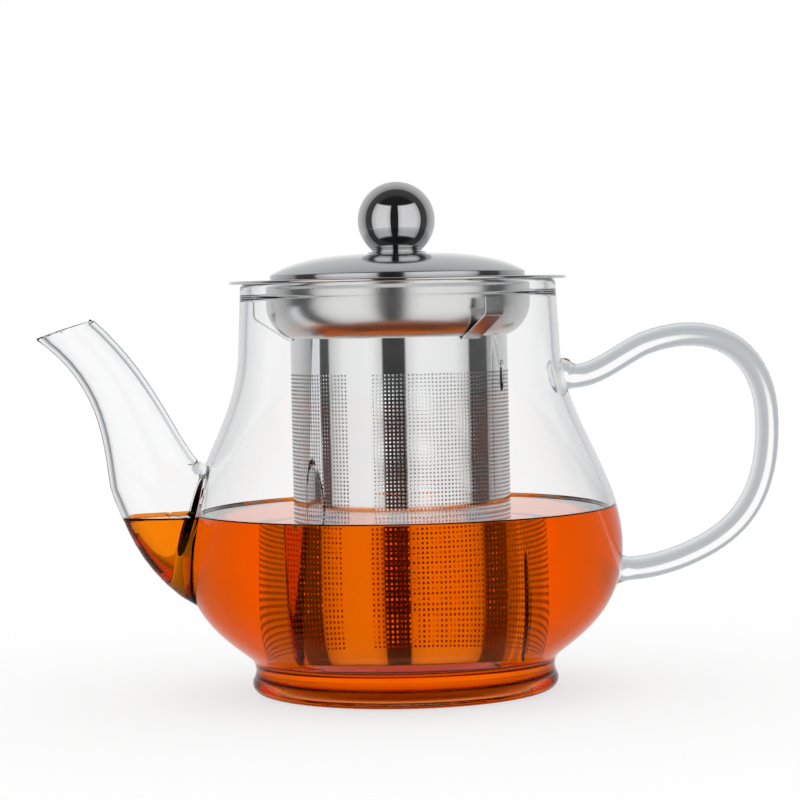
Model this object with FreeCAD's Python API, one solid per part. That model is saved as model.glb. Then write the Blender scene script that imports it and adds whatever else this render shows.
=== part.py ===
import FreeCAD, Part
import math
import os

# A blown glass teapot with a lift-out steel infuser and a lid with a ball knob.
# Millimetres, +Z up. The origin is the centre of the foot, where the pot stands.
# The spout points along -X and the handle along +X.

# Glass body, a blown vessel of one wall thickness with a fire-polished rim bead
POT_HEIGHT = 114.5
NECK_R = 45.0
NECK_LENGTH = 16.5
RIM_DRAW_IN = 0.8
RIM_BEAD = 3.0
RIM_BEAD_HEIGHT = 2.6
RIM_ROUND = 1.1
GLASS_WALL = 2.2
BELLY_R = 61.7
BELLY_Z = 40.0
SHOULDER_UPPER_PULL = 22.6
SHOULDER_LOWER_PULL = 20.6
BELLY_PULL = 17.5
HEEL_PULL = 8.0
HEEL_SLOPE = 38.2
WAIST_R = 42.1
WAIST_ROUND = 4.8
FOOT_FLARE = 1.0
FOOT_ROUND = 2.8
FLOOR = 2.0
FLOOR_ROUND = 2.5

# Spout, a tapering glass tube fused over a hole in the belly
SPOUT_WALL = 1.8
SPOUT_ROOT_DEPTH = 42.0
SPOUT_ROOT_WIDTH = 32.0
SPOUT_MOUTH_D = 14.2
SPOUT_TAPER = 1.75
SPOUT_ROOT_INSET = 7.7
SPOUT_ROOT_Z = 45.0
SPOUT_BEND_OUT = 14.3
SPOUT_BEND_RISE = 7.0
SPOUT_THROAT_OUT = 4.3
SPOUT_THROAT_DROP = 23.3
SPOUT_REACH = 31.4
SPOUT_MOUTH_DROP = 11.2
MOUTH_TILT = 17.0
SPOUT_RINGS = 7
RING_POINTS = 12
SPOUT_RUN_ON = 0.14
CHANNEL_RUN_ON = 0.04

# Handle, a solid glass rod bent to an ear and fused on at both ends
ROD_D = 6.8
HANDLE_STANDOFF = 44.8
HANDLE_LEVEL = 73.0
TOP_ARC_RADIUS = 24.3
LOW_ARC_RADIUS = 36.6
UPPER_RISE = 26.0
LOWER_RISE = 25.0
WELD_D = 10.6
WELD_LENGTH = 5.0

# Infuser of sheet steel: a flat rim, a bowl welded under it, a perforated tube and its base
RIM_SHEET = 0.9
RIM_OVERHANG = 3.1
RIM_LIP_DEPTH = 6.5
RIM_LIP_SHEET = 0.5
BOWL_SHEET = 0.6
BOWL_NECK_GAP = 4.2
BOWL_MOUTH_STEP = 3.2
BOWL_SHOULDER_ROUND = 2.2
BOWL_WALL_HEIGHT = 3.4
BOWL_CORNER_R = 10.5
BOWL_TUBE_STEP = 6.5
TUBE_SHEET = 0.3
TUBE_TUCK = 1.2
BASE_SHEET = 0.4
BASE_LIP = 4.0
BASE_FLOOR_GAP = 10.5

# Three spring clips under the bowl, which hold the infuser beneath the rim bead
CLIP_SHEET = 0.35
CLIP_WIDTH = 6.0
CLIP_RISE = 34.0
CLIP_BEND_R = 1.6
CLIP_TIP_LENGTH = 4.6
CLIP_NECK_CLEARANCE = 0.5
CLIP_SEAT_GAP = 0.3
CLIP_ANGLES = {"left": 180.0, "front": -60.0, "rear": 60.0}

# Lid: a spun dome with a locating ring, and a hollow ball knob held by one screw
LID_SHEET = 0.6
LID_OVERLAP = 2.0
LID_EDGE_WIDTH = 1.2
LID_EDGE_HEIGHT = 1.5
LID_RISE = 5.5
LID_CROWN_PULL = 13.0
LID_SHOULDER_IN = 4.3
LID_SHOULDER_UP = 2.9
LID_PAD_R = 9.4
RING_CLEARANCE = 0.4
RING_SHEET = 0.5
RING_DEPTH = 7.0
BALL_D = 21.7
BALL_SHEET = 0.8
BALL_SEAT_R = 7.1
FERRULE_BASE_R = 8.6
FERRULE_TOP_R = 7.3
FERRULE_HEIGHT = 1.1
FERRULE_GROOVE = 0.35
SCREW_D = 4.0
SCREW_LENGTH = 10.0
SCREW_FIT = 0.05
SCREW_HEAD_D = 7.2
SCREW_HEAD_HEIGHT = 2.4
SCREW_SLOT_WIDTH = 1.0
SCREW_SLOT_DEPTH = 1.1
SCREW_HOLE_D = 4.4
INSERT_D = 7.4
INSERT_LENGTH = 9.0
INSERT_FLANGE = 0.9
WASHER_D = 9.0
WASHER_SHEET = 0.8

# Places that follow from the sizes above
FOOT_R = WAIST_R + FOOT_FLARE
RIM_R = NECK_R - RIM_DRAW_IN
NECK_Z = POT_HEIGHT - NECK_LENGTH
BEAD_R = RIM_R - RIM_BEAD
BOWL_R = BEAD_R - BOWL_NECK_GAP
TUBE_R = BOWL_R - BOWL_TUBE_STEP
MOUTH_R = BOWL_R - BOWL_MOUTH_STEP
FLANGE_TOP = POT_HEIGHT + RIM_SHEET
BOWL_CORNER_Z = POT_HEIGHT - BOWL_SHOULDER_ROUND - BOWL_WALL_HEIGHT
TUBE_BOTTOM = FLOOR + BASE_FLOOR_GAP
LID_R = MOUTH_R + LID_OVERLAP
LID_EDGE_TOP = FLANGE_TOP + LID_EDGE_HEIGHT
LID_PAD_Z = LID_EDGE_TOP + LID_RISE
BALL_SEAT_Z = LID_PAD_Z + FERRULE_HEIGHT
BALL_R = BALL_D / 2
BALL_Z = BALL_SEAT_Z + math.sqrt(BALL_R ** 2 - BALL_SEAT_R ** 2)


def point(r, z):
    """A point of a profile, at radius r and height z."""
    return FreeCAD.Vector(r, 0, z)


def polar(centre, radius, degrees):
    """The point at an angle on a circle in the XZ plane."""
    angle = math.radians(degrees)
    return centre + point(radius * math.cos(angle), radius * math.sin(angle))


def line(start, end):
    return Part.LineSegment(start, end).toShape()


def arc(start, middle, end):
    return Part.Arc(start, middle, end).toShape()


def bezier(*poles):
    curve = Part.BezierCurve()
    curve.setPoles(list(poles))
    return curve.toShape()


def turned(edges):
    """The solid that a closed profile sweeps out about the pot's axis."""
    face = Part.Face(Part.Wire(Part.__sortEdges__(edges)))
    return face.revolve(point(0, 0), FreeCAD.Vector(0, 0, 1), 360)


def disc(radius, low, high):
    return Part.makeCylinder(radius, high - low, point(0, low))


def shell(outer, inner, low, high):
    return disc(outer, low, high).cut(disc(inner, low, high))


# Glass body

def waist_centre():
    """The centre of the waist's hollow, so that it runs smoothly into the foot's round edge."""
    across = WAIST_R + WAIST_ROUND - (FOOT_R - FOOT_ROUND)
    return point(WAIST_R + WAIST_ROUND,
                 FOOT_ROUND + math.sqrt((WAIST_ROUND + FOOT_ROUND) ** 2 - across ** 2))


def heel_curve(inset):
    """The underside of the belly, from the waist's hollow to the widest ring, moved in by inset."""
    start = polar(waist_centre(), WAIST_ROUND + inset, 90 + HEEL_SLOPE)
    along = polar(start, HEEL_PULL, HEEL_SLOPE)
    widest = point(BELLY_R - inset, BELLY_Z)
    return bezier(start, along, widest - point(0, BELLY_PULL), widest)


def shoulder_curve(inset):
    widest = point(BELLY_R - inset, BELLY_Z)
    neck = point(NECK_R - inset, NECK_Z)
    return bezier(widest, widest + point(0, SHOULDER_LOWER_PULL),
                  neck - point(0, SHOULDER_UPPER_PULL), neck)


def waist_curve(inset, lowest):
    """The waist's hollow, from an angle at or below its throat up to the underside of the belly."""
    centre = waist_centre()
    radius = WAIST_ROUND + inset
    highest = 90 + HEEL_SLOPE
    return arc(polar(centre, radius, lowest), polar(centre, radius, (lowest + highest) / 2),
               polar(centre, radius, highest))


def pot_outside():
    """The pot's outer form as a full solid."""
    foot_centre = point(FOOT_R - FOOT_ROUND, FOOT_ROUND)
    to_waist = waist_centre() - foot_centre
    tangent = math.degrees(math.atan2(to_waist.z, to_waist.x))
    rest = polar(foot_centre, FOOT_ROUND, -90)
    foot = arc(rest, polar(foot_centre, FOOT_ROUND, (tangent - 90) / 2),
               polar(foot_centre, FOOT_ROUND, tangent))
    round_centre = point(RIM_R - RIM_ROUND, POT_HEIGHT - RIM_ROUND)
    rim_side = polar(round_centre, RIM_ROUND, 0)
    rim_top = polar(round_centre, RIM_ROUND, 90)
    return turned([
        line(point(0, 0), rest),
        foot,
        waist_curve(0, 180 + tangent),
        heel_curve(0),
        shoulder_curve(0),
        line(point(NECK_R, NECK_Z), rim_side),
        arc(rim_side, polar(round_centre, RIM_ROUND, 45), rim_top),
        line(rim_top, point(0, POT_HEIGHT)),
        line(point(0, POT_HEIGHT), point(0, 0)),
    ])


def pot_inside():
    """The hollow of the pot as a full solid, open through the rim."""
    throat = WAIST_R - GLASS_WALL
    throat_z = waist_centre().z
    corner = point(throat - FLOOR_ROUND, FLOOR + FLOOR_ROUND)
    above_rim = POT_HEIGHT + RIM_ROUND
    bead_low = POT_HEIGHT - RIM_BEAD_HEIGHT
    bead_end = bead_low - RIM_BEAD_HEIGHT
    neck = point(NECK_R - GLASS_WALL, NECK_Z)
    bead_foot = point(NECK_R - GLASS_WALL, bead_end)
    round_centre = point(BEAD_R + RIM_ROUND, POT_HEIGHT - RIM_ROUND)
    rim_side = polar(round_centre, RIM_ROUND, 180)
    rim_top = polar(round_centre, RIM_ROUND, 90)
    middle = (bead_low + bead_end) / 2
    return turned([
        line(point(0, FLOOR), polar(corner, FLOOR_ROUND, -90)),
        arc(polar(corner, FLOOR_ROUND, -90), polar(corner, FLOOR_ROUND, -45), polar(corner, FLOOR_ROUND, 0)),
        line(polar(corner, FLOOR_ROUND, 0), point(throat, throat_z)),
        waist_curve(GLASS_WALL, 180),
        heel_curve(GLASS_WALL),
        shoulder_curve(GLASS_WALL),
        line(neck, bead_foot),
        bezier(bead_foot, point(NECK_R - GLASS_WALL, middle), point(BEAD_R, middle), point(BEAD_R, bead_low)),
        line(point(BEAD_R, bead_low), rim_side),
        arc(rim_side, polar(round_centre, RIM_ROUND, 135), rim_top),
        line(rim_top, point(rim_top.x, above_rim)),
        line(point(rim_top.x, above_rim), point(0, above_rim)),
        line(point(0, above_rim), point(0, FLOOR)),
    ])


# Spout

def spout_poles():
    """The four poles of the spout's centre line, from inside the belly to the mouth."""
    root = point(-(BELLY_R - SPOUT_ROOT_INSET), SPOUT_ROOT_Z)
    bend = point(-(BELLY_R + SPOUT_BEND_OUT), SPOUT_ROOT_Z + SPOUT_BEND_RISE)
    mouth = point(-(BELLY_R + SPOUT_REACH), POT_HEIGHT - SPOUT_MOUTH_DROP)
    throat = point(-(BELLY_R + SPOUT_THROAT_OUT), mouth.z - SPOUT_THROAT_DROP)
    return root, bend, throat, mouth


def spout_place(t):
    """The centre and the direction of the spout at t, which is 0 at the root and 1 at the mouth."""
    root, bend, throat, mouth = spout_poles()
    s = 1 - t
    centre = root * s ** 3 + bend * (3 * s * s * t) + throat * (3 * s * t * t) + mouth * t ** 3
    direction = (bend - root) * s * s + (throat - bend) * (2 * s * t) + (mouth - throat) * t * t
    return centre, direction.normalize()


def spout_ring(t, wall):
    """An oval section square to the centre line, smaller by the wall for the channel."""
    centre, direction = spout_place(t)
    narrowing = max(1 - t, 0) ** SPOUT_TAPER
    depth = SPOUT_MOUTH_D + (SPOUT_ROOT_DEPTH - SPOUT_MOUTH_D) * narrowing
    width = SPOUT_MOUTH_D + (SPOUT_ROOT_WIDTH - SPOUT_MOUTH_D) * narrowing
    down = FreeCAD.Vector(direction.z, 0, -direction.x) * (depth / 2 - wall)
    side = FreeCAD.Vector(0, width / 2 - wall, 0)
    turns = [2 * math.pi * k / RING_POINTS for k in range(RING_POINTS)]
    oval = Part.BSplineCurve()
    oval.interpolate(Points=[centre + down * math.cos(a) + side * math.sin(a) for a in turns],
                     PeriodicFlag=True)
    return Part.Wire(oval.toShape())


def spout_form(wall, start, end):
    """The spout's outer form, or its channel, lofted from start to end along the centre line."""
    step = (end - start) / (SPOUT_RINGS - 1)
    rings = [spout_ring(start + step * k, wall) for k in range(SPOUT_RINGS)]
    return Part.makeLoft(rings, True, False)


def mouth_cutter():
    """A block above the slanting plane of the spout's mouth."""
    mouth = spout_poles()[3]
    side = 4 * SPOUT_MOUTH_D
    block = Part.makeBox(side, side, side, point(-side / 2, 0) - FreeCAD.Vector(0, side / 2, 0))
    block.rotate(point(0, 0), FreeCAD.Vector(0, 1, 0), -MOUTH_TILT)
    block.translate(mouth)
    return block


# Handle

def rod_wire():
    """The centre line of the rod: straight, two bends round the ear, straight."""
    out = point(BELLY_R + HANDLE_STANDOFF, HANDLE_LEVEL)
    upper = out - point(TOP_ARC_RADIUS, 0)
    lower = out - point(LOW_ARC_RADIUS, 0)
    top = polar(upper, TOP_ARC_RADIUS, 90 + UPPER_RISE)
    low = polar(lower, LOW_ARC_RADIUS, LOWER_RISE - 90)
    inward = BELLY_R
    top_end = polar(top, inward, 180 + UPPER_RISE)
    low_end = polar(low, inward, 180 + LOWER_RISE)
    bends = [
        arc(top, polar(upper, TOP_ARC_RADIUS, (90 + UPPER_RISE) / 2), out),
        arc(out, polar(lower, LOW_ARC_RADIUS, (LOWER_RISE - 90) / 2), low),
    ]
    return line(top_end, top), bends, line(low, low_end)


def rod_along(edge):
    """A round rod along one edge of the centre line."""
    start = edge.Vertexes[0].Point
    direction = edge.tangentAt(edge.FirstParameter)
    section = Part.Wire(Part.Circle(start, direction, ROD_D / 2).toShape())
    return Part.Wire(edge).makePipeShell([section], True, True)


def weld(edge, outside):
    """The flared end where the hot rod was pressed on to the wall."""
    beyond = edge.cut(outside)
    ends = sorted(beyond.Vertexes, key=lambda vertex: vertex.Point.x)
    at_wall = ends[0].Point
    direction = (ends[-1].Point - at_wall).normalize()
    start = at_wall - direction * WELD_D / 2
    flare = Part.makeCylinder(WELD_D / 2, WELD_D / 2, start, direction)
    return flare.fuse(Part.makeCone(WELD_D / 2, ROD_D / 2, WELD_LENGTH, at_wall, direction))


def handle(outside):
    upper, bends, lower = rod_wire()
    rod = rod_along(upper)
    for edge in bends + [lower]:
        rod = rod.fuse(rod_along(edge))
    for edge in (upper, lower):
        rod = rod.fuse(weld(edge, outside))
    return largest(rod.cut(outside)).removeSplitter()


def largest(shape):
    """The biggest solid of a cut, without the offcuts."""
    return max(shape.Solids, key=lambda solid: solid.Volume)


# Infuser

def infuser_rim():
    """The flat ring that lies on the glass, its inner edge turned down as a lip."""
    edge = RIM_R + RIM_OVERHANG
    half = RIM_SHEET / 2
    lip_low = POT_HEIGHT - RIM_LIP_DEPTH
    lip_back = MOUTH_R + RIM_LIP_SHEET
    return turned([
        line(point(MOUTH_R, lip_low), point(lip_back, lip_low)),
        line(point(lip_back, lip_low), point(lip_back, POT_HEIGHT)),
        line(point(lip_back, POT_HEIGHT), point(edge - half, POT_HEIGHT)),
        arc(point(edge - half, POT_HEIGHT), point(edge, POT_HEIGHT + half), point(edge - half, FLANGE_TOP)),
        line(point(edge - half, FLANGE_TOP), point(MOUTH_R, FLANGE_TOP)),
        line(point(MOUTH_R, FLANGE_TOP), point(MOUTH_R, lip_low)),
    ])


def bowl_edge_z(radius):
    """The height at which the bowl's round corner, of the given radius, meets the tube."""
    return BOWL_CORNER_Z - math.sqrt(radius ** 2 - (TUBE_R - BOWL_R + BOWL_CORNER_R) ** 2)


def bowl_side(inset):
    """The bowl's curve from the rim down to the tube, and its two ends."""
    wall = BOWL_R - inset
    shoulder = BOWL_SHOULDER_ROUND - inset
    shoulder_centre = point(BOWL_R - BOWL_SHOULDER_ROUND, POT_HEIGHT - BOWL_SHOULDER_ROUND)
    corner = BOWL_CORNER_R - inset
    corner_centre = point(BOWL_R - BOWL_CORNER_R, BOWL_CORNER_Z)
    low = point(TUBE_R, bowl_edge_z(corner))
    low_angle = math.degrees(math.atan2(low.z - corner_centre.z, low.x - corner_centre.x))
    top = point(MOUTH_R + RIM_LIP_SHEET, POT_HEIGHT - inset)
    edges = [
        line(top, polar(shoulder_centre, shoulder, 90)),
        arc(polar(shoulder_centre, shoulder, 90), polar(shoulder_centre, shoulder, 45),
            polar(shoulder_centre, shoulder, 0)),
        line(polar(shoulder_centre, shoulder, 0), point(wall, BOWL_CORNER_Z)),
        arc(point(wall, BOWL_CORNER_Z), polar(corner_centre, corner, low_angle / 2), low),
    ]
    return edges, top, low


def infuser_bowl():
    outer, outer_top, outer_low = bowl_side(0)
    inner, inner_top, inner_low = bowl_side(BOWL_SHEET)
    return turned(outer + inner + [line(outer_top, inner_top), line(outer_low, inner_low)])


def infuser_tube():
    """The rolled tube; its top stands a little way up inside the bowl."""
    top = bowl_edge_z(BOWL_CORNER_R - BOWL_SHEET) + TUBE_TUCK
    return shell(TUBE_R, TUBE_R - TUBE_SHEET, TUBE_BOTTOM, top)


def infuser_base():
    """The pressed cup that closes the tube's lower end."""
    outer = TUBE_R - TUBE_SHEET
    cup = disc(outer, TUBE_BOTTOM, TUBE_BOTTOM + BASE_LIP)
    return cup.cut(disc(outer - BASE_SHEET, TUBE_BOTTOM + BASE_SHEET, TUBE_BOTTOM + BASE_LIP))


def spring_clip(angle):
    """A bent strip: a slanting arm that lies against the bowl, then an upright tip at the neck."""
    rise = math.radians(CLIP_RISE)
    along = point(math.cos(rise), math.sin(rise))
    away = point(math.sin(rise), -math.cos(rise))
    corner_centre = point(BOWL_R - BOWL_CORNER_R, BOWL_CORNER_Z)
    touch = corner_centre + away * (BOWL_CORNER_R + CLIP_SEAT_GAP)
    tip_r = BEAD_R - CLIP_NECK_CLEARANCE - CLIP_SHEET
    inner_r = CLIP_BEND_R
    bend_angle = math.radians(90 - CLIP_RISE)
    corner = touch + along * ((tip_r - touch.x) / along.x)
    setback = inner_r * math.tan(bend_angle / 2)
    arm_start = touch + along * ((TUBE_R + CLIP_SEAT_GAP - touch.x) / along.x)
    arm_end = corner - along * setback
    tip_start = corner + point(0, setback)
    tip_end = corner + point(0, CLIP_TIP_LENGTH)
    centre = tip_start - point(inner_r, 0)
    halfway = CLIP_RISE / 2 - 45
    outer_r = inner_r + CLIP_SHEET
    under = away * CLIP_SHEET
    beside = point(CLIP_SHEET, 0)
    profile = Part.Wire(Part.__sortEdges__([
        line(arm_start, arm_end),
        arc(arm_end, polar(centre, inner_r, halfway), tip_start),
        line(tip_start, tip_end),
        line(tip_end, tip_end + beside),
        line(tip_end + beside, tip_start + beside),
        arc(tip_start + beside, polar(centre, outer_r, halfway), arm_end + under),
        line(arm_end + under, arm_start + under),
        line(arm_start + under, arm_start),
    ]))
    strip = Part.Face(profile).extrude(FreeCAD.Vector(0, CLIP_WIDTH, 0))
    strip.translate(FreeCAD.Vector(0, -CLIP_WIDTH / 2, 0))
    strip.rotate(point(0, 0), FreeCAD.Vector(0, 0, 1), angle)
    return strip


# Lid and knob

def lid_curve(inset):
    """The dome from its flat pad out to the edge, moved in by inset."""
    pad = point(LID_PAD_R, LID_PAD_Z - inset)
    edge = point(LID_R - inset, LID_EDGE_TOP)
    shoulder = edge + point(-LID_SHOULDER_IN, LID_SHOULDER_UP)
    return bezier(pad, pad + point(LID_CROWN_PULL, 0), shoulder, edge)


def lid_dome():
    """The dome with its thick rolled edge, and the screw hole through its pad."""
    inner_edge = LID_R - LID_EDGE_WIDTH
    dome = turned([
        line(point(0, LID_PAD_Z), point(LID_PAD_R, LID_PAD_Z)),
        lid_curve(0),
        line(point(LID_R, LID_EDGE_TOP), point(LID_R, FLANGE_TOP)),
        line(point(LID_R, FLANGE_TOP), point(inner_edge, FLANGE_TOP)),
        line(point(inner_edge, FLANGE_TOP), point(inner_edge, LID_EDGE_TOP)),
        line(point(inner_edge, LID_EDGE_TOP), point(LID_R - LID_SHEET, LID_EDGE_TOP)),
        lid_curve(LID_SHEET),
        line(point(LID_PAD_R, LID_PAD_Z - LID_SHEET), point(0, LID_PAD_Z - LID_SHEET)),
        line(point(0, LID_PAD_Z - LID_SHEET), point(0, LID_PAD_Z)),
    ])
    return dome.cut(disc(SCREW_HOLE_D / 2, LID_PAD_Z - LID_SHEET, LID_PAD_Z))


def lid_locating_ring():
    """The ring under the dome that drops into the infuser's mouth, trimmed to the dome's underside."""
    outer = MOUTH_R - RING_CLEARANCE
    low = FLANGE_TOP - RING_DEPTH
    under_dome = turned([
        line(point(0, LID_PAD_Z - LID_SHEET), point(LID_PAD_R, LID_PAD_Z - LID_SHEET)),
        lid_curve(LID_SHEET),
        line(point(LID_R - LID_SHEET, LID_EDGE_TOP), point(LID_R - LID_SHEET, low)),
        line(point(LID_R - LID_SHEET, low), point(0, low)),
        line(point(0, low), point(0, LID_PAD_Z - LID_SHEET)),
    ])
    return shell(outer, outer - RING_SHEET, low, LID_PAD_Z).common(under_dome)


def knob_ferrule():
    """The turned collar between dome and ball, with a groove round it."""
    groove_low = LID_PAD_Z + FERRULE_HEIGHT / 2
    groove_top = groove_low + FERRULE_GROOVE
    collar = Part.makeCone(FERRULE_BASE_R, FERRULE_TOP_R, FERRULE_HEIGHT, point(0, LID_PAD_Z))
    collar = collar.cut(shell(FERRULE_BASE_R, FERRULE_TOP_R - FERRULE_GROOVE, groove_low, groove_top))
    return collar.cut(disc(SCREW_HOLE_D / 2, LID_PAD_Z, BALL_SEAT_Z))


def ball_inside():
    return Part.makeSphere(BALL_R - BALL_SHEET, point(0, BALL_Z))


def knob_ball():
    """A hollow ball, open at its flat seat."""
    ball = Part.makeSphere(BALL_R, point(0, BALL_Z)).cut(ball_inside())
    return ball.cut(disc(BALL_R, BALL_Z - BALL_R, BALL_SEAT_Z))


def knob_insert():
    """The threaded bush whose flange is soldered inside the ball."""
    flange = disc(BALL_R, BALL_SEAT_Z, BALL_SEAT_Z + INSERT_FLANGE).common(ball_inside())
    bush = disc(INSERT_D / 2, BALL_SEAT_Z, BALL_SEAT_Z + INSERT_LENGTH)
    bore = disc(SCREW_D / 2 + SCREW_FIT, BALL_SEAT_Z, BALL_SEAT_Z + INSERT_LENGTH)
    return flange.fuse(bush).removeSplitter().cut(bore)


def knob_washer():
    top = LID_PAD_Z - LID_SHEET
    return shell(WASHER_D / 2, SCREW_HOLE_D / 2, top - WASHER_SHEET, top)


def knob_screw():
    """The screw from inside the lid, through the dome into the ball, with a slotted head."""
    head_top = LID_PAD_Z - LID_SHEET - WASHER_SHEET
    head_low = head_top - SCREW_HEAD_HEIGHT
    head = disc(SCREW_HEAD_D / 2, head_low, head_top)
    slot = Part.makeBox(SCREW_HEAD_D, SCREW_SLOT_WIDTH, SCREW_SLOT_DEPTH,
                        FreeCAD.Vector(-SCREW_HEAD_D / 2, -SCREW_SLOT_WIDTH / 2, head_low))
    shank = disc(SCREW_D / 2, head_top, head_top + SCREW_LENGTH)
    return head.cut(slot).fuse(shank).removeSplitter()


def build():
    outside = pot_outside()
    past_mouth = 1 + SPOUT_RUN_ON
    channel = spout_form(SPOUT_WALL, -CHANNEL_RUN_ON, past_mouth + CHANNEL_RUN_ON)
    spout = spout_form(0, 0, past_mouth).cut(mouth_cutter()).cut(outside)
    nodes = {
        "glass_body": largest(outside.cut(pot_inside()).cut(channel)),
        "glass_spout": largest(spout.cut(channel)),
        "glass_handle": handle(outside),
        "infuser_rim": infuser_rim(),
        "infuser_bowl": infuser_bowl(),
        "infuser_tube": infuser_tube(),
        "infuser_base": infuser_base(),
        "lid_dome": lid_dome(),
        "lid_locating_ring": lid_locating_ring(),
        "knob_ferrule": knob_ferrule(),
        "knob_ball": knob_ball(),
        "knob_insert": knob_insert(),
        "knob_washer": knob_washer(),
        "knob_screw": knob_screw(),
    }
    for side, angle in CLIP_ANGLES.items():
        nodes["spring_clip_" + side] = spring_clip(angle)
    return nodes


os.makedirs("parts", exist_ok=True)
for name, shape in build().items():
    shape.exportStep("parts/" + name + ".step")
    print(name, len(shape.Solids), shape.isValid(), round(shape.Volume, 2), shape.BoundBox)
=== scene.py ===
import math
import bpy
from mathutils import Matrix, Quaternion, Vector


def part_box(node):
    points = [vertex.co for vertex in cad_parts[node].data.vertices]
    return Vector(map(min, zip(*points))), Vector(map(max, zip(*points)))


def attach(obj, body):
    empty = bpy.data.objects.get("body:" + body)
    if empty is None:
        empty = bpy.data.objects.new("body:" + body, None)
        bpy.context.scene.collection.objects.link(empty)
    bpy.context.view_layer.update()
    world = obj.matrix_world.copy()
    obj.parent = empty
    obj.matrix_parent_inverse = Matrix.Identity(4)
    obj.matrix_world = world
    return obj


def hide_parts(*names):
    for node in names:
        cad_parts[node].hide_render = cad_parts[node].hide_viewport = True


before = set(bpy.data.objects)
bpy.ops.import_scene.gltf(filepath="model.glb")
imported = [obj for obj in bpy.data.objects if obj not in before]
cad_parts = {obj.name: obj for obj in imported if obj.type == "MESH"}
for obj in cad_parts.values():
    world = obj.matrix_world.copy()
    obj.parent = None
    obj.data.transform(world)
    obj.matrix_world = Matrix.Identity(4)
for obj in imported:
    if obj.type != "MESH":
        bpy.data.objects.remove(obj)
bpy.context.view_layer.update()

# Glass body, spout and handle
# One piece of clear blown borosilicate: a spun vessel, a spout fused over a hole in the belly
# and a bent rod fused on at two welds, joined as full forms and then hollowed.
MM = 0.001
POT_HEIGHT = 114.5
NECK_R = 45.0
NECK_Z = 98.0
RIM_R = 44.2
BEAD_R = 41.2
BEAD_HEIGHT = 2.6
RIM_ROUND = 1.1
WALL = 2.2
BELLY_R = 61.7
BELLY_Z = 40.0
WAIST = (46.9, 6.568)
WAIST_ROUND = 4.8
WAIST_R = WAIST[0] - WAIST_ROUND
FOOT = (40.3, 2.8)
FOOT_ROUND = 2.8
HEEL_ANGLE = 128.2
HEEL_PULL = 8.0
BELLY_PULL_LOW = 22.5
BELLY_PULL_HIGH = 60.6
NECK_PULL = 75.4
FLOOR = 2.0
FLOOR_ROUND = 2.5


def arc(centre, radius, start, end, steps=10):
    """Points of (radius, height) on a circle, in millimetres, from one angle to another."""
    turns = [math.radians(start + (end - start) * k / steps) for k in range(steps + 1)]
    return [(centre[0] + radius * math.cos(a), centre[1] + radius * math.sin(a)) for a in turns]


def bezier(a, b, c, d, steps=28):
    """Points on a curve with four poles, without its first."""
    shares = [k / steps for k in range(1, steps + 1)]
    weights = [((1 - t) ** 3, 3 * (1 - t) ** 2 * t, 3 * (1 - t) * t * t, t ** 3) for t in shares]
    return [tuple(p * a[i] + q * b[i] + r * c[i] + s * d[i] for i in (0, 1)) for p, q, r, s in weights]


def turned(name, profile, closed=False, steps=160):
    """A line of (radius, height) points, drawn by extruding a vertex and spun about the pot's axis."""
    bpy.ops.object.select_all(action="DESELECT")
    bpy.ops.mesh.primitive_plane_add(size=MM)
    piece = bpy.context.object
    piece.name = name
    bpy.ops.object.mode_set(mode="EDIT")
    bpy.ops.mesh.select_all(action="SELECT")
    bpy.ops.mesh.merge(type="CENTER")
    last = Vector((0, 0, 0))
    line = profile + profile[:1] if closed else profile
    for number, (r, z) in enumerate(line):
        here = Vector((r * MM, 0, z * MM))
        if number == 0:
            bpy.ops.transform.translate(value=here)
        else:
            bpy.ops.mesh.extrude_vertices_move(TRANSFORM_OT_translate={"value": here - last})
        last = here
    bpy.ops.mesh.select_all(action="SELECT")
    bpy.ops.mesh.spin(steps=steps, angle=2 * math.pi, center=(0, 0, 0), axis=(0, 0, 1))
    bpy.ops.mesh.select_all(action="SELECT")
    bpy.ops.mesh.remove_doubles(threshold=0.002 * MM)
    bpy.ops.mesh.normals_make_consistent(inside=False)
    bpy.ops.object.mode_set(mode="OBJECT")
    return piece


def lofted(name, rings, sides=48):
    """Ovals along a line in the XZ plane, bridged and closed: (x, z, lean, half depth, half width)."""
    bpy.ops.object.select_all(action="DESELECT")
    bpy.ops.mesh.primitive_plane_add(size=MM)
    piece = bpy.context.object
    piece.name = name
    bpy.ops.object.mode_set(mode="EDIT")
    bpy.ops.mesh.select_all(action="SELECT")
    bpy.ops.mesh.delete(type="VERT")
    for x, z, lean, depth, width in rings:
        bpy.ops.mesh.primitive_circle_add(vertices=sides, radius=depth * MM, location=(x * MM, 0, z * MM),
                                          rotation=(0, lean, 0))
        bpy.ops.transform.resize(value=(1, width / depth, 1))
    bpy.ops.mesh.select_all(action="SELECT")
    bpy.ops.mesh.bridge_edge_loops()
    bpy.ops.mesh.select_all(action="SELECT")
    bpy.ops.mesh.fill_holes(sides=0)
    bpy.ops.mesh.select_all(action="SELECT")
    bpy.ops.mesh.normals_make_consistent(inside=False)
    bpy.ops.object.mode_set(mode="OBJECT")
    return piece


def bisected(piece, point, normal):
    """Cuts off what lies beyond a plane and closes the cut; the new face stays selected."""
    bpy.ops.object.select_all(action="DESELECT")
    bpy.context.view_layer.objects.active = piece
    piece.select_set(True)
    bpy.ops.object.mode_set(mode="EDIT")
    bpy.ops.mesh.select_all(action="SELECT")
    bpy.ops.mesh.bisect(plane_co=Vector(point) * MM, plane_no=normal, use_fill=True, clear_outer=True)
    bpy.ops.object.mode_set(mode="OBJECT")


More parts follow.
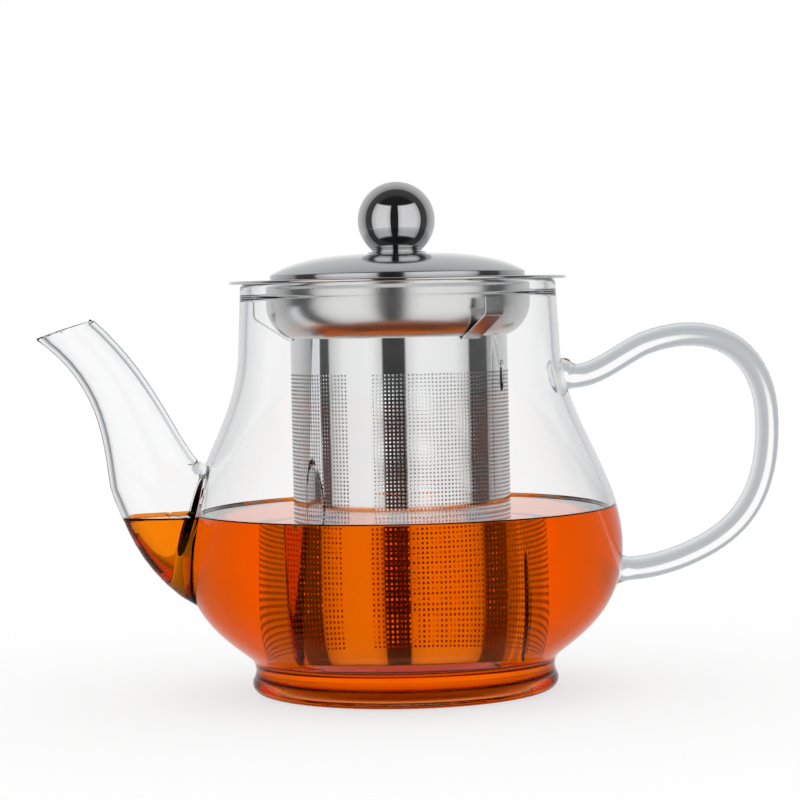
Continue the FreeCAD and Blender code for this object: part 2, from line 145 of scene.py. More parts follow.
def boolean(piece, other, operation):
    bpy.ops.object.select_all(action="DESELECT")
    bpy.context.view_layer.objects.active = piece
    piece.select_set(True)
    bpy.ops.object.modifier_add(type="BOOLEAN")
    piece.modifiers[-1].operation = operation
    piece.modifiers[-1].solver = "EXACT"
    piece.modifiers[-1].object = other
    bpy.ops.object.modifier_apply(modifier=piece.modifiers[-1].name)
    bpy.data.objects.remove(other)


def smoothed(piece, degrees=30):
    bpy.ops.object.select_all(action="DESELECT")
    bpy.context.view_layer.objects.active = piece
    piece.select_set(True)
    bpy.ops.object.shade_smooth_by_angle(angle=math.radians(degrees))


def belly(inset):
    """The wall from above the waist to the neck, moved in by inset."""
    start = arc(WAIST, WAIST_ROUND + inset, HEEL_ANGLE, HEEL_ANGLE, 1)[0]
    along = arc(start, HEEL_PULL, HEEL_ANGLE - 90, HEEL_ANGLE - 90, 1)[0]
    widest = (BELLY_R - inset, BELLY_Z)
    neck = (NECK_R - inset, NECK_Z)
    return (bezier(start, along, (widest[0], BELLY_PULL_LOW), widest)
            + bezier(widest, (widest[0], BELLY_PULL_HIGH), (neck[0], NECK_PULL), neck))


def hollow(inset):
    """The inside of the pot up to the neck, where inset is the glass left outside it."""
    corner = (WAIST_R - inset - FLOOR_ROUND, FLOOR + FLOOR_ROUND - (WALL - inset))
    return ([(0, corner[1] - FLOOR_ROUND)] + arc(corner, FLOOR_ROUND, -90, 0)
            + arc(WAIST, WAIST_ROUND + inset, 180, HEEL_ANGLE) + belly(inset))


lean_of_foot = math.degrees(math.atan2(WAIST[1] - FOOT[1], WAIST[0] - FOOT[0]))
glass = turned("pot_glass", [(0, 0)] + arc(FOOT, FOOT_ROUND, -90, lean_of_foot)
               + arc(WAIST, WAIST_ROUND, 180 + lean_of_foot, HEEL_ANGLE)[1:] + belly(0)
               + arc((RIM_R - RIM_ROUND, POT_HEIGHT - RIM_ROUND), RIM_ROUND, 0, 90) + [(0, POT_HEIGHT)])

SPOUT_POLES = ((-54.0, 45.0), (-76.0, 52.0), (-66.0, 80.0), (-93.1, 103.3))
SPOUT_WALL = 1.8
SPOUT_MOUTH_R = 7.1
ROOT_DEEPER = 13.9
ROOT_WIDER = 8.9
ROOT_FALL = 1.75
MOUTH_TILT = math.radians(17)
MOUTH_EDGE = 0.8
HEEL_FLAT = 1.2
HEEL_FLAT_AT = 0.17
HEEL_FLAT_REACH = 0.24


def spout_rings(wall, start, end, count=30):
    """The oval sections of the spout, from inside the belly to past the mouth."""
    rings = []
    for k in range(count):
        t = start + (end - start) * k / (count - 1)
        s = 1 - t
        x, z = (sum(w * p[i] for w, p in zip((s ** 3, 3 * s * s * t, 3 * s * t * t, t ** 3), SPOUT_POLES))
                for i in (0, 1))
        a, b, c, d = SPOUT_POLES
        dx, dz = (s * s * (b[i] - a[i]) + 2 * s * t * (c[i] - b[i]) + t * t * (d[i] - c[i]) for i in (0, 1))
        narrowing = min(max(s, 0), 1) ** ROOT_FALL
        flat = HEEL_FLAT * max(1 - ((t - HEEL_FLAT_AT) / HEEL_FLAT_REACH) ** 2, 0)
        slant = math.hypot(dx, dz)
        rings.append((x + flat * dz / slant, z - flat * dx / slant, math.atan2(dx, dz),
                      SPOUT_MOUTH_R + ROOT_DEEPER * narrowing - wall - flat,
                      SPOUT_MOUTH_R + ROOT_WIDER * narrowing - wall))
    return rings


spout = lofted("spout", spout_rings(0, -0.15, 1.14))
mouth = SPOUT_POLES[3]
bisected(spout, (mouth[0], 0, mouth[1]), (-math.sin(MOUTH_TILT), 0, math.cos(MOUTH_TILT)))
bpy.ops.object.mode_set(mode="EDIT")
bpy.ops.mesh.bevel(offset=MOUTH_EDGE * MM, segments=3, affect="EDGES")
bpy.ops.object.mode_set(mode="OBJECT")

ROD_R = 3.35
WELD_SWELL = 1.9
WELD_LENGTH = 5.0
WELDS = ((46.8, 88.0), (60.8, 31.8))
EAR = (((44.5, 88.6), (53.0, 83.0), (62.06, 92.1), (70.4, 95.5)),
       ((70.4, 95.5), (88.9, 102.2), (106.5, 95.5), (106.5, 72.1)),
       ((106.5, 72.1), (106.5, 50.1), (97.1, 40.8), (82.2, 35.1)),
       ((82.2, 35.1), (74.7, 32.2), (64.0, 30.0), (56.0, 33.0)))
ear_line = [EAR[0][0]]
for poles in EAR:
    ear_line += bezier(*poles, 18)
ear_rings = []
for k, (x, z) in enumerate(ear_line):
    before = ear_line[max(k - 1, 0)]
    after = ear_line[min(k + 1, len(ear_line) - 1)]
    to_weld = min(math.dist((x, z), weld) for weld in WELDS)
    swollen = ROD_R + WELD_SWELL * max(1 - to_weld / WELD_LENGTH, 0) ** 2
    ear_rings.append((x, z, math.atan2(after[0] - before[0], after[1] - before[1]), swollen, swollen))
handle = lofted("handle", ear_rings, 28)

boolean(glass, spout, "UNION")
boolean(glass, handle, "UNION")
DROP_AT = (-60.5, 0, 62.5)
DROP_SIZE = (6.5, 8.0, 4.2)
bpy.ops.object.select_all(action="DESELECT")
bpy.ops.mesh.primitive_uv_sphere_add(segments=40, ring_count=20, radius=MM, location=Vector(DROP_AT) * MM)
drop = bpy.context.object
bpy.ops.transform.resize(value=DROP_SIZE)
bpy.ops.object.transform_apply(location=True, rotation=True, scale=True)
boolean(glass, drop, "UNION")

BEAD_STEP = 0.95
BEAD_FADE = 2.4
bead_low = POT_HEIGHT - BEAD_HEIGHT
bead_start = (BEAD_R + BEAD_STEP, bead_low - BEAD_FADE)
bead_middle = bead_low - BEAD_FADE / 2
cavity = turned("cavity", hollow(WALL) + [bead_start]
                + bezier(bead_start, (bead_start[0], bead_middle), (BEAD_R, bead_middle),
                         (BEAD_R, bead_low), 8)
                + arc((BEAD_R + RIM_ROUND, POT_HEIGHT - RIM_ROUND), RIM_ROUND, 180, 90)
                + [(BEAD_R + RIM_ROUND, POT_HEIGHT + 2), (0, POT_HEIGHT + 2)])
boolean(glass, cavity, "DIFFERENCE")

WALL_SKIN = 0.35
POUR_HOLE = (10.4, 10.9)
POUR_HOLE_Z = 51.0
POUR_HOLE_X = (-52.0, -66.0)


def spout_inside(wall, end):
    """The inside of the spout, from the belly's wall out, and the hole through that wall."""
    inside = lofted("spout_inside", spout_rings(wall, -0.3, end))
    skin = WALL_SKIN if wall < SPOUT_WALL else 0
    boolean(inside, turned("belly_form", [(0, BELLY_Z / 2)] + belly(skin) + [(0, NECK_Z)]), "DIFFERENCE")
    depth, width = (size + SPOUT_WALL - wall for size in POUR_HOLE)
    hole = lofted("pour_hole", [(x, POUR_HOLE_Z, -math.pi / 2, depth, width) for x in POUR_HOLE_X])
    boolean(inside, hole, "UNION")
    return inside


boolean(glass, spout_inside(SPOUT_WALL, 1.18), "DIFFERENCE")
smoothed(glass, 18)


def surface(name, piece):
    """A new material on the piece, and its shader."""
    look = bpy.data.materials.new(name)
    look.use_nodes = True
    piece.data.materials.clear()
    piece.data.materials.append(look)
    return look, look.node_tree.nodes["Principled BSDF"]


def noise(look, scale, detail=2.0):
    """A noise on the object's own coordinates."""
    nodes, links = look.node_tree.nodes, look.node_tree.links
    place = nodes.new("ShaderNodeTexCoord")
    texture = nodes.new("ShaderNodeTexNoise")
    texture.inputs["Scale"].default_value = scale
    texture.inputs["Detail"].default_value = detail
    links.new(place.outputs["Object"], texture.inputs["Vector"])
    return texture.outputs["Fac"]


def tinted(look, shader, value, low, high):
    """Varies the base colour between two colours by a texture's value."""
    node = look.node_tree.nodes.new("ShaderNodeValToRGB")
    node.color_ramp.elements[0].color = (*low, 1)
    node.color_ramp.elements[1].color = (*high, 1)
    look.node_tree.links.new(value, node.inputs["Fac"])
    look.node_tree.links.new(node.outputs["Color"], shader.inputs["Base Color"])


look, shader = surface("clear_glass", glass)
shader.inputs["Transmission Weight"].default_value = 1
shader.inputs["IOR"].default_value = 1.34
shader.inputs["Roughness"].default_value = 0
tinted(look, shader, noise(look, 45), (0.997, 0.998, 1.0), (1.0, 1.0, 1.0))
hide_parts("glass_body", "glass_spout", "glass_handle")
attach(glass, "pot")

# Tea
# Brewed tea up to a level under the pot's middle, and as high in the spout's root. It reaches a
# little into the glass so that no air shows between them.
TEA_LEVEL = 51.0
TEA_OVERLAP = 0.35
MENISCUS = ((0.5, 0.45), (0.7, 0.2))
tea = turned("tea", hollow(WALL - TEA_OVERLAP) + [(0, NECK_Z)])
boolean(tea, spout_inside(SPOUT_WALL - TEA_OVERLAP, 0.9), "UNION")
bisected(tea, (0, 0, TEA_LEVEL), (0, 0, 1))
bpy.ops.object.mode_set(mode="EDIT")
for width, drop in MENISCUS:
    bpy.ops.mesh.inset(thickness=width * MM, use_even_offset=False)
    bpy.ops.transform.translate(value=(0, 0, -drop * MM))
bpy.ops.transform.resize(value=(1, 1, 0))
bpy.ops.object.mode_set(mode="OBJECT")
smoothed(tea, 12)
bpy.ops.object.mode_set(mode="EDIT")
bpy.ops.mesh.faces_shade_flat()
bpy.ops.object.mode_set(mode="OBJECT")
look, shader = surface("brewed_tea", tea)
shader.inputs["Transmission Weight"].default_value = 1
shader.inputs["IOR"].default_value = 1.33
shader.inputs["Roughness"].default_value = 0
tinted(look, shader, noise(look, 30), (1.0, 0.27, 0.01), (1.0, 0.33, 0.02))
absorb = look.node_tree.nodes.new("ShaderNodeVolumeAbsorption")
absorb.inputs["Color"].default_value = (0.995, 0.855, 0.0, 1)
absorb.inputs["Density"].default_value = 75
look.node_tree.links.new(absorb.outputs["Volume"], look.node_tree.nodes["Material Output"].inputs["Volume"])
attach(tea, "pot")

# Infuser base
# A shallow cup of satin stainless sheet pressed into the lower end of the tube.
TUBE_R = 30.5
TUBE_SHEET = 0.3
TUBE_BOTTOM = 12.5
BASE_SHEET = 0.4
BASE_LIP = 4.0


def eased(piece, width):
    """Rounds the sharp edges of a turned piece by a small bevel."""
    bpy.ops.object.select_all(action="DESELECT")
    bpy.context.view_layer.objects.active = piece
    piece.select_set(True)
    bpy.ops.object.modifier_add(type="BEVEL")
    piece.modifiers[-1].width = width * MM
    piece.modifiers[-1].segments = 2
    piece.modifiers[-1].limit_method = "ANGLE"
    piece.modifiers[-1].angle_limit = math.radians(40)
    bpy.ops.object.modifier_apply(modifier=piece.modifiers[-1].name)
    smoothed(piece)


grain = bpy.data.node_groups.new("turned_grain", "ShaderNodeTree")
for socket, way in (("Roughness", "INPUT"), ("Spread", "INPUT"),
                    ("Roughness", "OUTPUT"), ("Height", "OUTPUT")):
    grain.interface.new_socket(socket, in_out=way, socket_type="NodeSocketFloat")
group_in = grain.nodes.new("NodeGroupInput")
group_out = grain.nodes.new("NodeGroupOutput")
place = grain.nodes.new("ShaderNodeTexCoord")
flat = grain.nodes.new("ShaderNodeVectorMath")
flat.operation = "MULTIPLY"
flat.inputs[1].default_value = (1, 1, 0)
radius = grain.nodes.new("ShaderNodeVectorMath")
radius.operation = "LENGTH"
height = grain.nodes.new("ShaderNodeSeparateXYZ")
along = grain.nodes.new("ShaderNodeMath")
along.operation = "ADD"
rings = grain.nodes.new("ShaderNodeTexNoise")
rings.noise_dimensions = "1D"
rings.inputs["Scale"].default_value = 2600
smudge = grain.nodes.new("ShaderNodeTexNoise")
smudge.inputs["Scale"].default_value = 90
both = grain.nodes.new("ShaderNodeMath")
both.operation = "ADD"
centred = grain.nodes.new("ShaderNodeMath")
centred.operation = "SUBTRACT"
centred.inputs[1].default_value = 1.0
scaled = grain.nodes.new("ShaderNodeMath")
scaled.operation = "MULTIPLY_ADD"
for a, b in ((place.outputs["Object"], flat.inputs[0]), (flat.outputs["Vector"], radius.inputs[0]),
             (place.outputs["Object"], height.inputs["Vector"]), (radius.outputs["Value"], along.inputs[0]),
             (height.outputs["Z"], along.inputs[1]), (along.outputs["Value"], rings.inputs["W"]),
             (place.outputs["Object"], smudge.inputs["Vector"]), (rings.outputs["Fac"], both.inputs[0]),
             (smudge.outputs["Fac"], both.inputs[1]), (both.outputs["Value"], centred.inputs[0]),
             (centred.outputs["Value"], scaled.inputs[0]), (group_in.outputs["Spread"], scaled.inputs[1]),
             (group_in.outputs["Roughness"], scaled.inputs[2]),
             (scaled.outputs["Value"], group_out.inputs["Roughness"]),
             (rings.outputs["Fac"], group_out.inputs["Height"])):
    grain.links.new(a, b)


def steel(name, piece, colour, roughness, variation, relief=0.0):
    """Stainless steel with a turned grain on the piece."""
    look, shader = surface(name, piece)
    shader.inputs["Base Color"].default_value = (*colour, 1)
    shader.inputs["Metallic"].default_value = 1
    group = look.node_tree.nodes.new("ShaderNodeGroup")
    group.node_tree = grain
    group.inputs["Roughness"].default_value = roughness
    group.inputs["Spread"].default_value = variation
    look.node_tree.links.new(group.outputs["Roughness"], shader.inputs["Roughness"])
    if relief:
        bump = look.node_tree.nodes.new("ShaderNodeBump")
        bump.inputs["Strength"].default_value = relief
        bump.inputs["Distance"].default_value = 0.02 * MM
        look.node_tree.links.new(group.outputs["Height"], bump.inputs["Height"])
        look.node_tree.links.new(bump.outputs["Normal"], shader.inputs["Normal"])


base_r = TUBE_R - TUBE_SHEET
cup_r = base_r - BASE_SHEET
cup_floor = TUBE_BOTTOM + BASE_SHEET
cup_top = TUBE_BOTTOM + BASE_LIP
base = turned("infuser_base_cup", [(0, TUBE_BOTTOM), (base_r, TUBE_BOTTOM), (base_r, cup_top),
                                   (cup_r, cup_top), (cup_r, cup_floor), (0, cup_floor)], steps=128)
eased(base, 0.15)
steel("base_steel", base, (0.80, 0.80, 0.79), 0.2, 0.08, 0.1)
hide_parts("infuser_base")
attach(base, "infuser")

# Infuser tube
# Thin stainless sheet with etched round holes, rolled and lapped at a plain seam. One cell with its
# hole is repeated over a flat sheet, rolled round the axis and thickened, in three bands of rows.
HOLES_LOW = 21.0
HOLES_TOP = 89.6
TUBE_TOP = 101.0
SEAM_WIDTH = 7.0
LAP_WIDTH = 5.2
LAP_SHIFT = 0.7
LAP_RISE = 0.25
LAP_SHORT = 4.0
SEAM_ANGLE = math.radians(-120)
COLUMNS = 172
HOLE_SHARE = 0.61
BAND_ROWS = (22, 21, 21)
column_pitch = (2 * math.pi * TUBE_R - SEAM_WIDTH) / COLUMNS
row_pitch = (HOLES_TOP - HOLES_LOW) / sum(BAND_ROWS)


def rolled(piece, start, radius):
    """Rolls a flat sheet, lying along X and Y, round the pot's axis from an angle."""
    for vertex in piece.data.vertices:
        a = start + vertex.co.x / (radius * MM)
        vertex.co = (radius * MM * math.cos(a), radius * MM * math.sin(a), vertex.co.y)


def thickened(piece, sheet):
    bpy.ops.object.select_all(action="DESELECT")
    bpy.context.view_layer.objects.active = piece
    piece.select_set(True)
    bpy.ops.object.modifier_add(type="SOLIDIFY")
    piece.modifiers[-1].thickness = sheet * MM
    piece.modifiers[-1].offset = -1
    bpy.ops.object.modifier_apply(modifier=piece.modifiers[-1].name)
    smoothed(piece)


first_row = 0
bands = []
for number, rows in enumerate(BAND_ROWS):
    bpy.ops.object.select_all(action="DESELECT")
    low = HOLES_LOW + first_row * row_pitch
    bpy.ops.mesh.primitive_plane_add(size=column_pitch * MM,
                                     location=(column_pitch * MM / 2, (low + row_pitch / 2) * MM, 0))
    band = bpy.context.object
    band.name = "infuser_tube_holes_" + str(number)
    bpy.ops.object.mode_set(mode="EDIT")
    bpy.ops.mesh.select_all(action="SELECT")
    bpy.ops.transform.resize(value=(1, row_pitch / column_pitch, 1))
    bpy.ops.mesh.delete(type="ONLY_FACE")
    bpy.ops.mesh.select_all(action="SELECT")
    bpy.ops.mesh.subdivide(number_cuts=1)
    bpy.ops.mesh.select_all(action="SELECT")
    bpy.ops.mesh.extrude_edges_move()
    bpy.ops.transform.tosphere(value=1)
    mean_r = (1 + math.sqrt(2)) / 4
    bpy.ops.transform.resize(value=(HOLE_SHARE / 2 / mean_r,) * 3)
    bpy.ops.object.mode_set(mode="OBJECT")
    bpy.ops.object.transform_apply(location=True)
    for count, axis, pitch in ((COLUMNS, 0, column_pitch), (rows, 1, row_pitch)):
        bpy.ops.object.modifier_add(type="ARRAY")
        array = band.modifiers[-1]
        array.count = count
        array.use_relative_offset = False
        array.use_constant_offset = True
        array.constant_offset_displace = [pitch * MM if axis == i else 0 for i in range(3)]
        array.use_merge_vertices = True
        array.merge_threshold = 0.002 * MM
        bpy.ops.object.modifier_apply(modifier=array.name)
    rolled(band, SEAM_ANGLE + SEAM_WIDTH / 2 / TUBE_R, TUBE_R)
    bpy.ops.object.mode_set(mode="EDIT")
    bpy.ops.mesh.select_all(action="SELECT")
    bpy.ops.mesh.normals_make_consistent(inside=False)
    bpy.ops.object.mode_set(mode="OBJECT")
    thickened(band, TUBE_SHEET)
    steel("perforated_steel_" + str(number), band, (0.88, 0.88, 0.88), 0.07, 0.04)
    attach(band, "infuser")
    bands.append(band)
    first_row += rows

plain = turned("infuser_tube_plain", [(TUBE_R, TUBE_BOTTOM), (TUBE_R, HOLES_LOW)], steps=172)
upper = turned("upper_band", [(TUBE_R, HOLES_TOP), (TUBE_R, TUBE_TOP)], steps=172)
bpy.ops.object.select_all(action="DESELECT")
bpy.ops.mesh.primitive_grid_add(x_subdivisions=8, y_subdivisions=2, size=MM,
                                location=(0, (HOLES_LOW + HOLES_TOP) / 2 * MM, 0))
seam = bpy.context.object
bpy.ops.transform.resize(value=(SEAM_WIDTH, HOLES_TOP - HOLES_LOW, 1))
bpy.ops.object.transform_apply(location=True, rotation=True, scale=True)
rolled(seam, SEAM_ANGLE, TUBE_R)
bpy.ops.object.select_all(action="DESELECT")
bpy.ops.mesh.primitive_grid_add(x_subdivisions=6, y_subdivisions=2, size=MM,
                                location=(LAP_SHIFT * MM, (TUBE_BOTTOM + TUBE_TOP) / 2 * MM, 0))
lap = bpy.context.object
bpy.ops.transform.resize(value=(LAP_WIDTH, TUBE_TOP - TUBE_BOTTOM - LAP_SHORT, 1))
bpy.ops.object.transform_apply(location=True, rotation=True, scale=True)
rolled(lap, SEAM_ANGLE, TUBE_R + LAP_RISE)
bpy.ops.object.select_all(action="DESELECT")
for piece in (upper, seam, lap, plain):
    piece.select_set(True)
bpy.context.view_layer.objects.active = plain
bpy.ops.object.join()
bpy.ops.object.mode_set(mode="EDIT")
bpy.ops.mesh.select_all(action="SELECT")
bpy.ops.mesh.remove_doubles(threshold=0.002 * MM)
bpy.ops.mesh.normals_make_consistent(inside=False)
bpy.ops.object.mode_set(mode="OBJECT")
thickened(plain, TUBE_SHEET)
steel("tube_plain_steel", plain, (0.88, 0.88, 0.88), 0.07, 0.04)
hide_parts("infuser_tube")
for band in bands:
    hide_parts("infuser_tube")
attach(plain, "infuser")

# Infuser bowl
# A drawn bowl of satin stainless sheet under the rim. Its round corner runs in to the tube.
BOWL_R = 37.0
BOWL_SHEET = 0.6
LIP_BACK = 34.3
SHOULDER = (34.8, 112.3)
CORNER = (26.5, 108.9)
SHOULDER_R = 2.2
CORNER_R = 10.5


def bowl_side(inset):
    """The bowl's curve from under the rim down to the tube."""
    low = -math.degrees(math.acos((TUBE_R - CORNER[0]) / (CORNER_R - inset)))
    return ([(LIP_BACK, POT_HEIGHT - inset)] + arc(SHOULDER, SHOULDER_R - inset, 90, 0, 8)
            + arc(CORNER, CORNER_R - inset, 0, low, 20))


bowl = turned("infuser_bowl_drawn", bowl_side(0) + bowl_side(BOWL_SHEET)[::-1], closed=True)
eased(bowl, 0.1)
steel("bowl_steel", bowl, (0.82, 0.82, 0.81), 0.23, 0.06, 0.1)
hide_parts("infuser_bowl")
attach(bowl, "infuser")

# Infuser rim
# A flat polished ring on the glass rim, its inner edge turned down as a lip inside the bowl.
MOUTH_R = 33.8
FLANGE_TOP = 115.4
FLANGE_R = 47.3
LIP_LOW = 108.0
LIP_ROUND = 0.4
half = (FLANGE_TOP - POT_HEIGHT) / 2
rim = turned("infuser_rim_ring", [(MOUTH_R, LIP_LOW), (LIP_BACK, LIP_LOW), (LIP_BACK, POT_HEIGHT)]
             + arc((FLANGE_R - half, POT_HEIGHT + half), half, -90, 90, 8)
             + arc((MOUTH_R + LIP_ROUND, FLANGE_TOP - LIP_ROUND), LIP_ROUND, 90, 180, 5), closed=True)
eased(rim, 0.08)
steel("rim_steel", rim, (0.72, 0.72, 0.72), 0.09, 0.05)
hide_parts("infuser_rim")
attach(rim, "infuser")

# Spring clips
# Three bent strips of spring steel under the bowl, kept as made, with their sheared edges eased.
for side in ("left", "front", "rear"):
    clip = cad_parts["spring_clip_" + side]
    clip.modifiers.new("edges", "BEVEL")
    clip.modifiers["edges"].width = 0.06 * MM
    clip.modifiers["edges"].segments = 2
    steel("clip_steel_" + side, clip, (0.84, 0.84, 0.83), 0.16, 0.06)

# Lid dome and its ring
# A spun satin dome with a thick polished edge; the ring soldered under it centres the lid.
LID_R = 35.8
LID_EDGE_TOP = 116.9
LID_PAD_R = 9.4
LID_PAD_Z = 122.4
LID_SHEET = 0.6
EDGE_WIDTH = 1.2
HOLE_R = 2.2
RING_R = 33.4
RING_LOW = 108.4
RING_SHEET = 0.5
RING_SLOPE = 0.4
PAD_PULL = 13.0
EDGE_PULL = (4.3, 2.9)


def lid_line(inset):
    """The dome from its pad out to the edge."""
    pad = (LID_PAD_R, LID_PAD_Z - inset)
    edge = (LID_R - inset, LID_EDGE_TOP)
    before_edge = (edge[0] - EDGE_PULL[0], edge[1] + EDGE_PULL[1])
    return [pad] + bezier(pad, (pad[0] + PAD_PULL, pad[1]), before_edge, edge)


dome = turned("lid_dome_spun", [(HOLE_R, LID_PAD_Z)] + lid_line(0)
              + [(LID_R, FLANGE_TOP), (LID_R - EDGE_WIDTH, FLANGE_TOP), (LID_R - EDGE_WIDTH, LID_EDGE_TOP)]
              + lid_line(LID_SHEET)[::-1] + [(HOLE_R, LID_PAD_Z - LID_SHEET)], closed=True)
eased(dome, 0.12)
steel("dome_steel", dome, (0.58, 0.59, 0.60), 0.12, 0.05, 0.08)
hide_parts("lid_dome")
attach(dome, "lid")

ring_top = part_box("lid_locating_ring")[1].z / MM
ring = turned("lid_ring", [(RING_R - RING_SHEET, RING_LOW), (RING_R, RING_LOW),
                           (RING_R, ring_top - RING_SLOPE), (RING_R - RING_SHEET, ring_top)], closed=True)
eased(ring, 0.1)
steel("ring_steel", ring, (0.64, 0.64, 0.63), 0.28, 0.1)
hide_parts("lid_locating_ring")
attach(ring, "lid")

# Knob
# A hollow mirror-polished ball on a turned collar, held from inside the lid by one screw with a washer.
BALL_R = 10.85
BALL_Z = 131.70
SEAT_Z = 123.5
SEAT_R = 7.1
BALL_SHEET = 0.8
FERRULE_BASE_R = 8.6
FERRULE_TOP_R = 7.3
GROOVE = 0.35
FERRULE_TAPER = 0.7
FERRULE_BEAD = 0.15
seat = -math.degrees(math.acos(SEAT_R / BALL_R))
inner_seat = -math.degrees(math.asin((BALL_Z - SEAT_Z) / (BALL_R - BALL_SHEET)))
ball = turned("knob_ball_polished", arc((0, BALL_Z), BALL_R, seat, 90, 64)
              + arc((0, BALL_Z), BALL_R - BALL_SHEET, 90, inner_seat, 48)
              + [(SEAT_R, SEAT_Z)], steps=192)
smoothed(ball)
steel("ball_steel", ball, (0.62, 0.62, 0.63), 0.025, 0.02)
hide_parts("knob_ball")
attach(ball, "lid")

groove_z = (LID_PAD_Z + SEAT_Z) / 2
ferrule = turned("knob_collar", [(HOLE_R, LID_PAD_Z), (FERRULE_BASE_R, LID_PAD_Z)]
                 + [(FERRULE_BASE_R - FERRULE_TAPER, groove_z), (FERRULE_TOP_R - GROOVE, groove_z),
                    (FERRULE_TOP_R - GROOVE, groove_z + GROOVE),
                    (FERRULE_TOP_R + FERRULE_BEAD, groove_z + GROOVE),
                    (FERRULE_TOP_R, SEAT_Z), (HOLE_R, SEAT_Z)], closed=True, steps=128)
eased(ferrule, 0.1)
steel("collar_steel", ferrule, (0.62, 0.62, 0.62), 0.04, 0.03)
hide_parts("knob_ferrule")
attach(ferrule, "lid")

for name in ("knob_insert", "knob_washer", "knob_screw"):
    steel(name + "_steel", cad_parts[name], (0.60, 0.60, 0.59), 0.32, 0.1)

# Studio
# A white floor and surround. Steel mirrors a dim room with two tall soft boxes beside the camera and
# a pale wall behind the pot. Glass sees paler surrounds, by the way its light has come.
CAMERA_AZIMUTH = math.radians(-9)
CAMERA_DISTANCE = 0.78
CAMERA_HEIGHT = 0.110
AIM_HEIGHT = 0.0813
CAMERA_ROLL = math.radians(1.2)
FLOOR_GAP = 0.0004
LENS = 125
SENSOR = 36
bpy.ops.object.select_all(action="DESELECT")
bpy.ops.mesh.primitive_plane_add(size=60, location=(0, 0, -FLOOR_GAP))
floor = bpy.context.object
floor.name = "floor"
look, shader = surface("floor_white", floor)
shader.inputs["Roughness"].default_value = 0.9
shader.inputs["Specular IOR Level"].default_value = 0.0
shader.inputs["Base Color"].default_value = (0.35, 0.35, 0.35, 1)
shader.inputs["Emission Color"].default_value = (1, 1, 1, 1)
shader.inputs["Emission Strength"].default_value = 0.65
path = look.node_tree.nodes.new("ShaderNodeLightPath")
clear = look.node_tree.nodes.new("ShaderNodeBsdfTransparent")
seen = look.node_tree.nodes.new("ShaderNodeMixShader")
bounced = look.node_tree.nodes.new("ShaderNodeMath")
look.node_tree.links.new(path.outputs["Glossy Depth"], bounced.inputs[0])
look.node_tree.links.new(path.outputs["Transmission Depth"], bounced.inputs[1])
look.node_tree.links.new(bounced.outputs["Value"], seen.inputs["Fac"])
look.node_tree.links.new(shader.outputs["BSDF"], seen.inputs[1])
look.node_tree.links.new(clear.outputs["BSDF"], seen.inputs[2])
look.node_tree.links.new(seen.outputs["Shader"], look.node_tree.nodes["Material Output"].inputs["Surface"])

world = bpy.data.worlds.new("studio")
bpy.context.scene.world = world
world.use_nodes = True
world.cycles.sampling_method = "NONE"
nodes, links = world.node_tree.nodes, world.node_tree.links
toward = Vector((math.sin(CAMERA_AZIMUTH), -math.cos(CAMERA_AZIMUTH), 0))
right = Vector((math.cos(CAMERA_AZIMUTH), math.sin(CAMERA_AZIMUTH), 0))
ray = nodes.new("ShaderNodeTexCoord")


def part_of(direction):
    """How far the ray points along a direction."""
    node = nodes.new("ShaderNodeVectorMath")
    node.operation = "DOT_PRODUCT"
    node.inputs[1].default_value = direction
    links.new(ray.outputs["Generated"], node.inputs[0])
    return node.outputs["Value"]


def maths(operation, a, b=None):
    node = nodes.new("ShaderNodeMath")
    node.operation = operation
    for socket, value in zip(node.inputs, (a, b)):
        if isinstance(value, (int, float)):
            socket.default_value = value
        elif value is not None:
            links.new(value, socket)
    return node.outputs["Value"]


def ramp(value, low, high, stops, tint=(1, 1, 1)):
    """A brightness over a range of values, as (value, brightness) stops. Less than white is tinted."""
    span = nodes.new("ShaderNodeMapRange")
    span.inputs["From Min"].default_value = low
    span.inputs["From Max"].default_value = high
    links.new(value, span.inputs["Value"])
    node = nodes.new("ShaderNodeValToRGB")
    links.new(span.outputs["Result"], node.inputs["Fac"])
    steps = node.color_ramp.elements
    for k, (at, bright) in enumerate(stops):
        step = steps[k] if k < 2 else steps.new(1.0)
        step.position = (at - low) / (high - low)
        step.color = (*(bright * (c if bright < 1 else 1) for c in tint), 1)
    return node.outputs["Color"]


def degrees(*stops):
    return [(math.radians(at), bright) for at, bright in stops]


forward = part_of(toward)
azimuth = maths("ARCTAN2", part_of(right), forward)
elevation = maths("ARCSINE", part_of((0, 0, 1)))
boxes = ramp(azimuth, -math.pi, math.pi,
             degrees((-79, 0.0), (-78, 0.6), (-60, 0.95), (-30, 1.0), (-18, 0.7), (-17, 0.0),
                     (6, 0.0), (7, 0.75), (20, 1.0), (60, 0.95), (77, 0.6), (78, 0.0)))
boxes_height = ramp(elevation, -math.pi / 2, math.pi / 2,
                    degrees((-61, 0.0), (-58, 0.8), (-20, 1.0), (40, 0.95), (44, 0.0)))
behind = ramp(forward, -1, 1, [(-1.0, 1.0), (-0.985, 0.9), (-0.93, 0.7), (-0.6, 0.58), (-0.27, 0.35),
                               (-0.23, 0.08), (0.2, 0.06), (0.3, 0.02)])
room = maths("MAXIMUM", maths("MULTIPLY", boxes, boxes_height), behind)

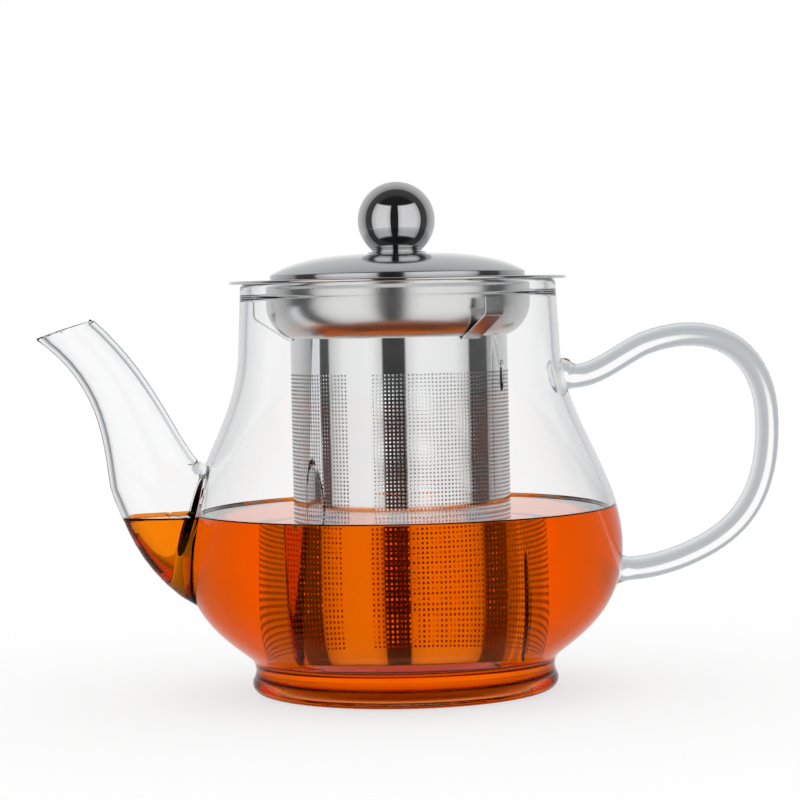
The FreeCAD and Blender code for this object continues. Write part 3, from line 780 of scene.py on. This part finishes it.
GLASS_GREY = (0.93, 0.97, 1.0)
ROD_TILT = (0.08, 0.10)
rod_axis = (toward + ROD_TILT[0] * right - ROD_TILT[1] * Vector((0, 0, 1))).normalized()
around = ramp(forward, -1, 1, [(-1.0, 1.0), (-0.95, 1.0), (-0.86, 0.88), (-0.5, 0.78),
                               (0.3, 0.8), (0.95, 1.0)], GLASS_GREY)
through_rod = ramp(maths("ABSOLUTE", part_of(rod_axis)), 0, 1,
                   [(0.0, 0.85), (0.72, 0.85), (0.86, 0.6), (0.93, 0.52), (0.976, 0.56), (0.986, 1.0)],
                   GLASS_GREY)
in_wall = ramp(forward, -1, 1, [(-1.0, 1.0), (-0.85, 0.6), (-0.6, 0.25), (-0.2, 0.05), (0.2, 0.0)],
               GLASS_GREY)

light_path = nodes.new("ShaderNodeLightPath")


def chosen(factor, plain, other):
    """One colour or the other, by a factor."""
    node = nodes.new("ShaderNodeMix")
    node.data_type = "RGBA"
    links.new(factor, node.inputs["Factor"])
    for socket, value in ((node.inputs[6], plain), (node.inputs[7], other)):
        if isinstance(value, tuple):
            socket.default_value = value
        else:
            links.new(value, socket)
    return node.outputs[2]


on_floor = maths("MINIMUM", light_path.outputs["Diffuse Depth"], 1)
through_glass = maths("MINIMUM", light_path.outputs["Transmission Depth"], 1)
off_glass = maths("MULTIPLY", light_path.outputs["Is Singular Ray"], maths("SUBTRACT", 1, through_glass))
glass_room = ramp(forward, -1, 1, [(-1.0, 0.9), (-0.93, 0.55), (-0.75, 0.16), (-0.4, 0.03), (0.1, 0.0)])
WALL_PASSES = 3
STEEL_PASSES = 6
crossings = light_path.outputs["Transmission Depth"]
one_wall = maths("MULTIPLY", through_glass, maths("LESS_THAN", crossings, WALL_PASSES))
in_tea = maths("GREATER_THAN", crossings, STEEL_PASSES)
trapped = maths("GREATER_THAN", light_path.outputs["Glossy Depth"], 1)
within = maths("MULTIPLY", through_glass, maths("MAXIMUM", in_tea, trapped))
mirrored = chosen(one_wall, chosen(within, chosen(off_glass, room, glass_room), around), in_wall)
refracted = chosen(one_wall, around, through_rod)
not_from_floor = maths("SUBTRACT", 1, on_floor)
seen_directly = chosen(maths("MULTIPLY", through_glass, not_from_floor), (1, 1, 1, 1), refracted)
off_metal = maths("MINIMUM", light_path.outputs["Glossy Depth"], 1)
links.new(chosen(off_metal, seen_directly, mirrored), nodes["Background"].inputs["Color"])

bpy.ops.object.select_all(action="DESELECT")
bpy.ops.object.camera_add(location=(toward.x * CAMERA_DISTANCE, toward.y * CAMERA_DISTANCE, CAMERA_HEIGHT))
camera = bpy.context.object
view = Vector((0, 0, AIM_HEIGHT)) - camera.location
camera.rotation_mode = "QUATERNION"
camera.rotation_quaternion = view.to_track_quat("-Z", "Y") @ Quaternion((0, 0, 1), -CAMERA_ROLL)
camera.data.lens = LENS
camera.data.sensor_width = SENSOR
bpy.context.scene.camera = camera
bpy.context.scene.view_settings.view_transform = "Standard"
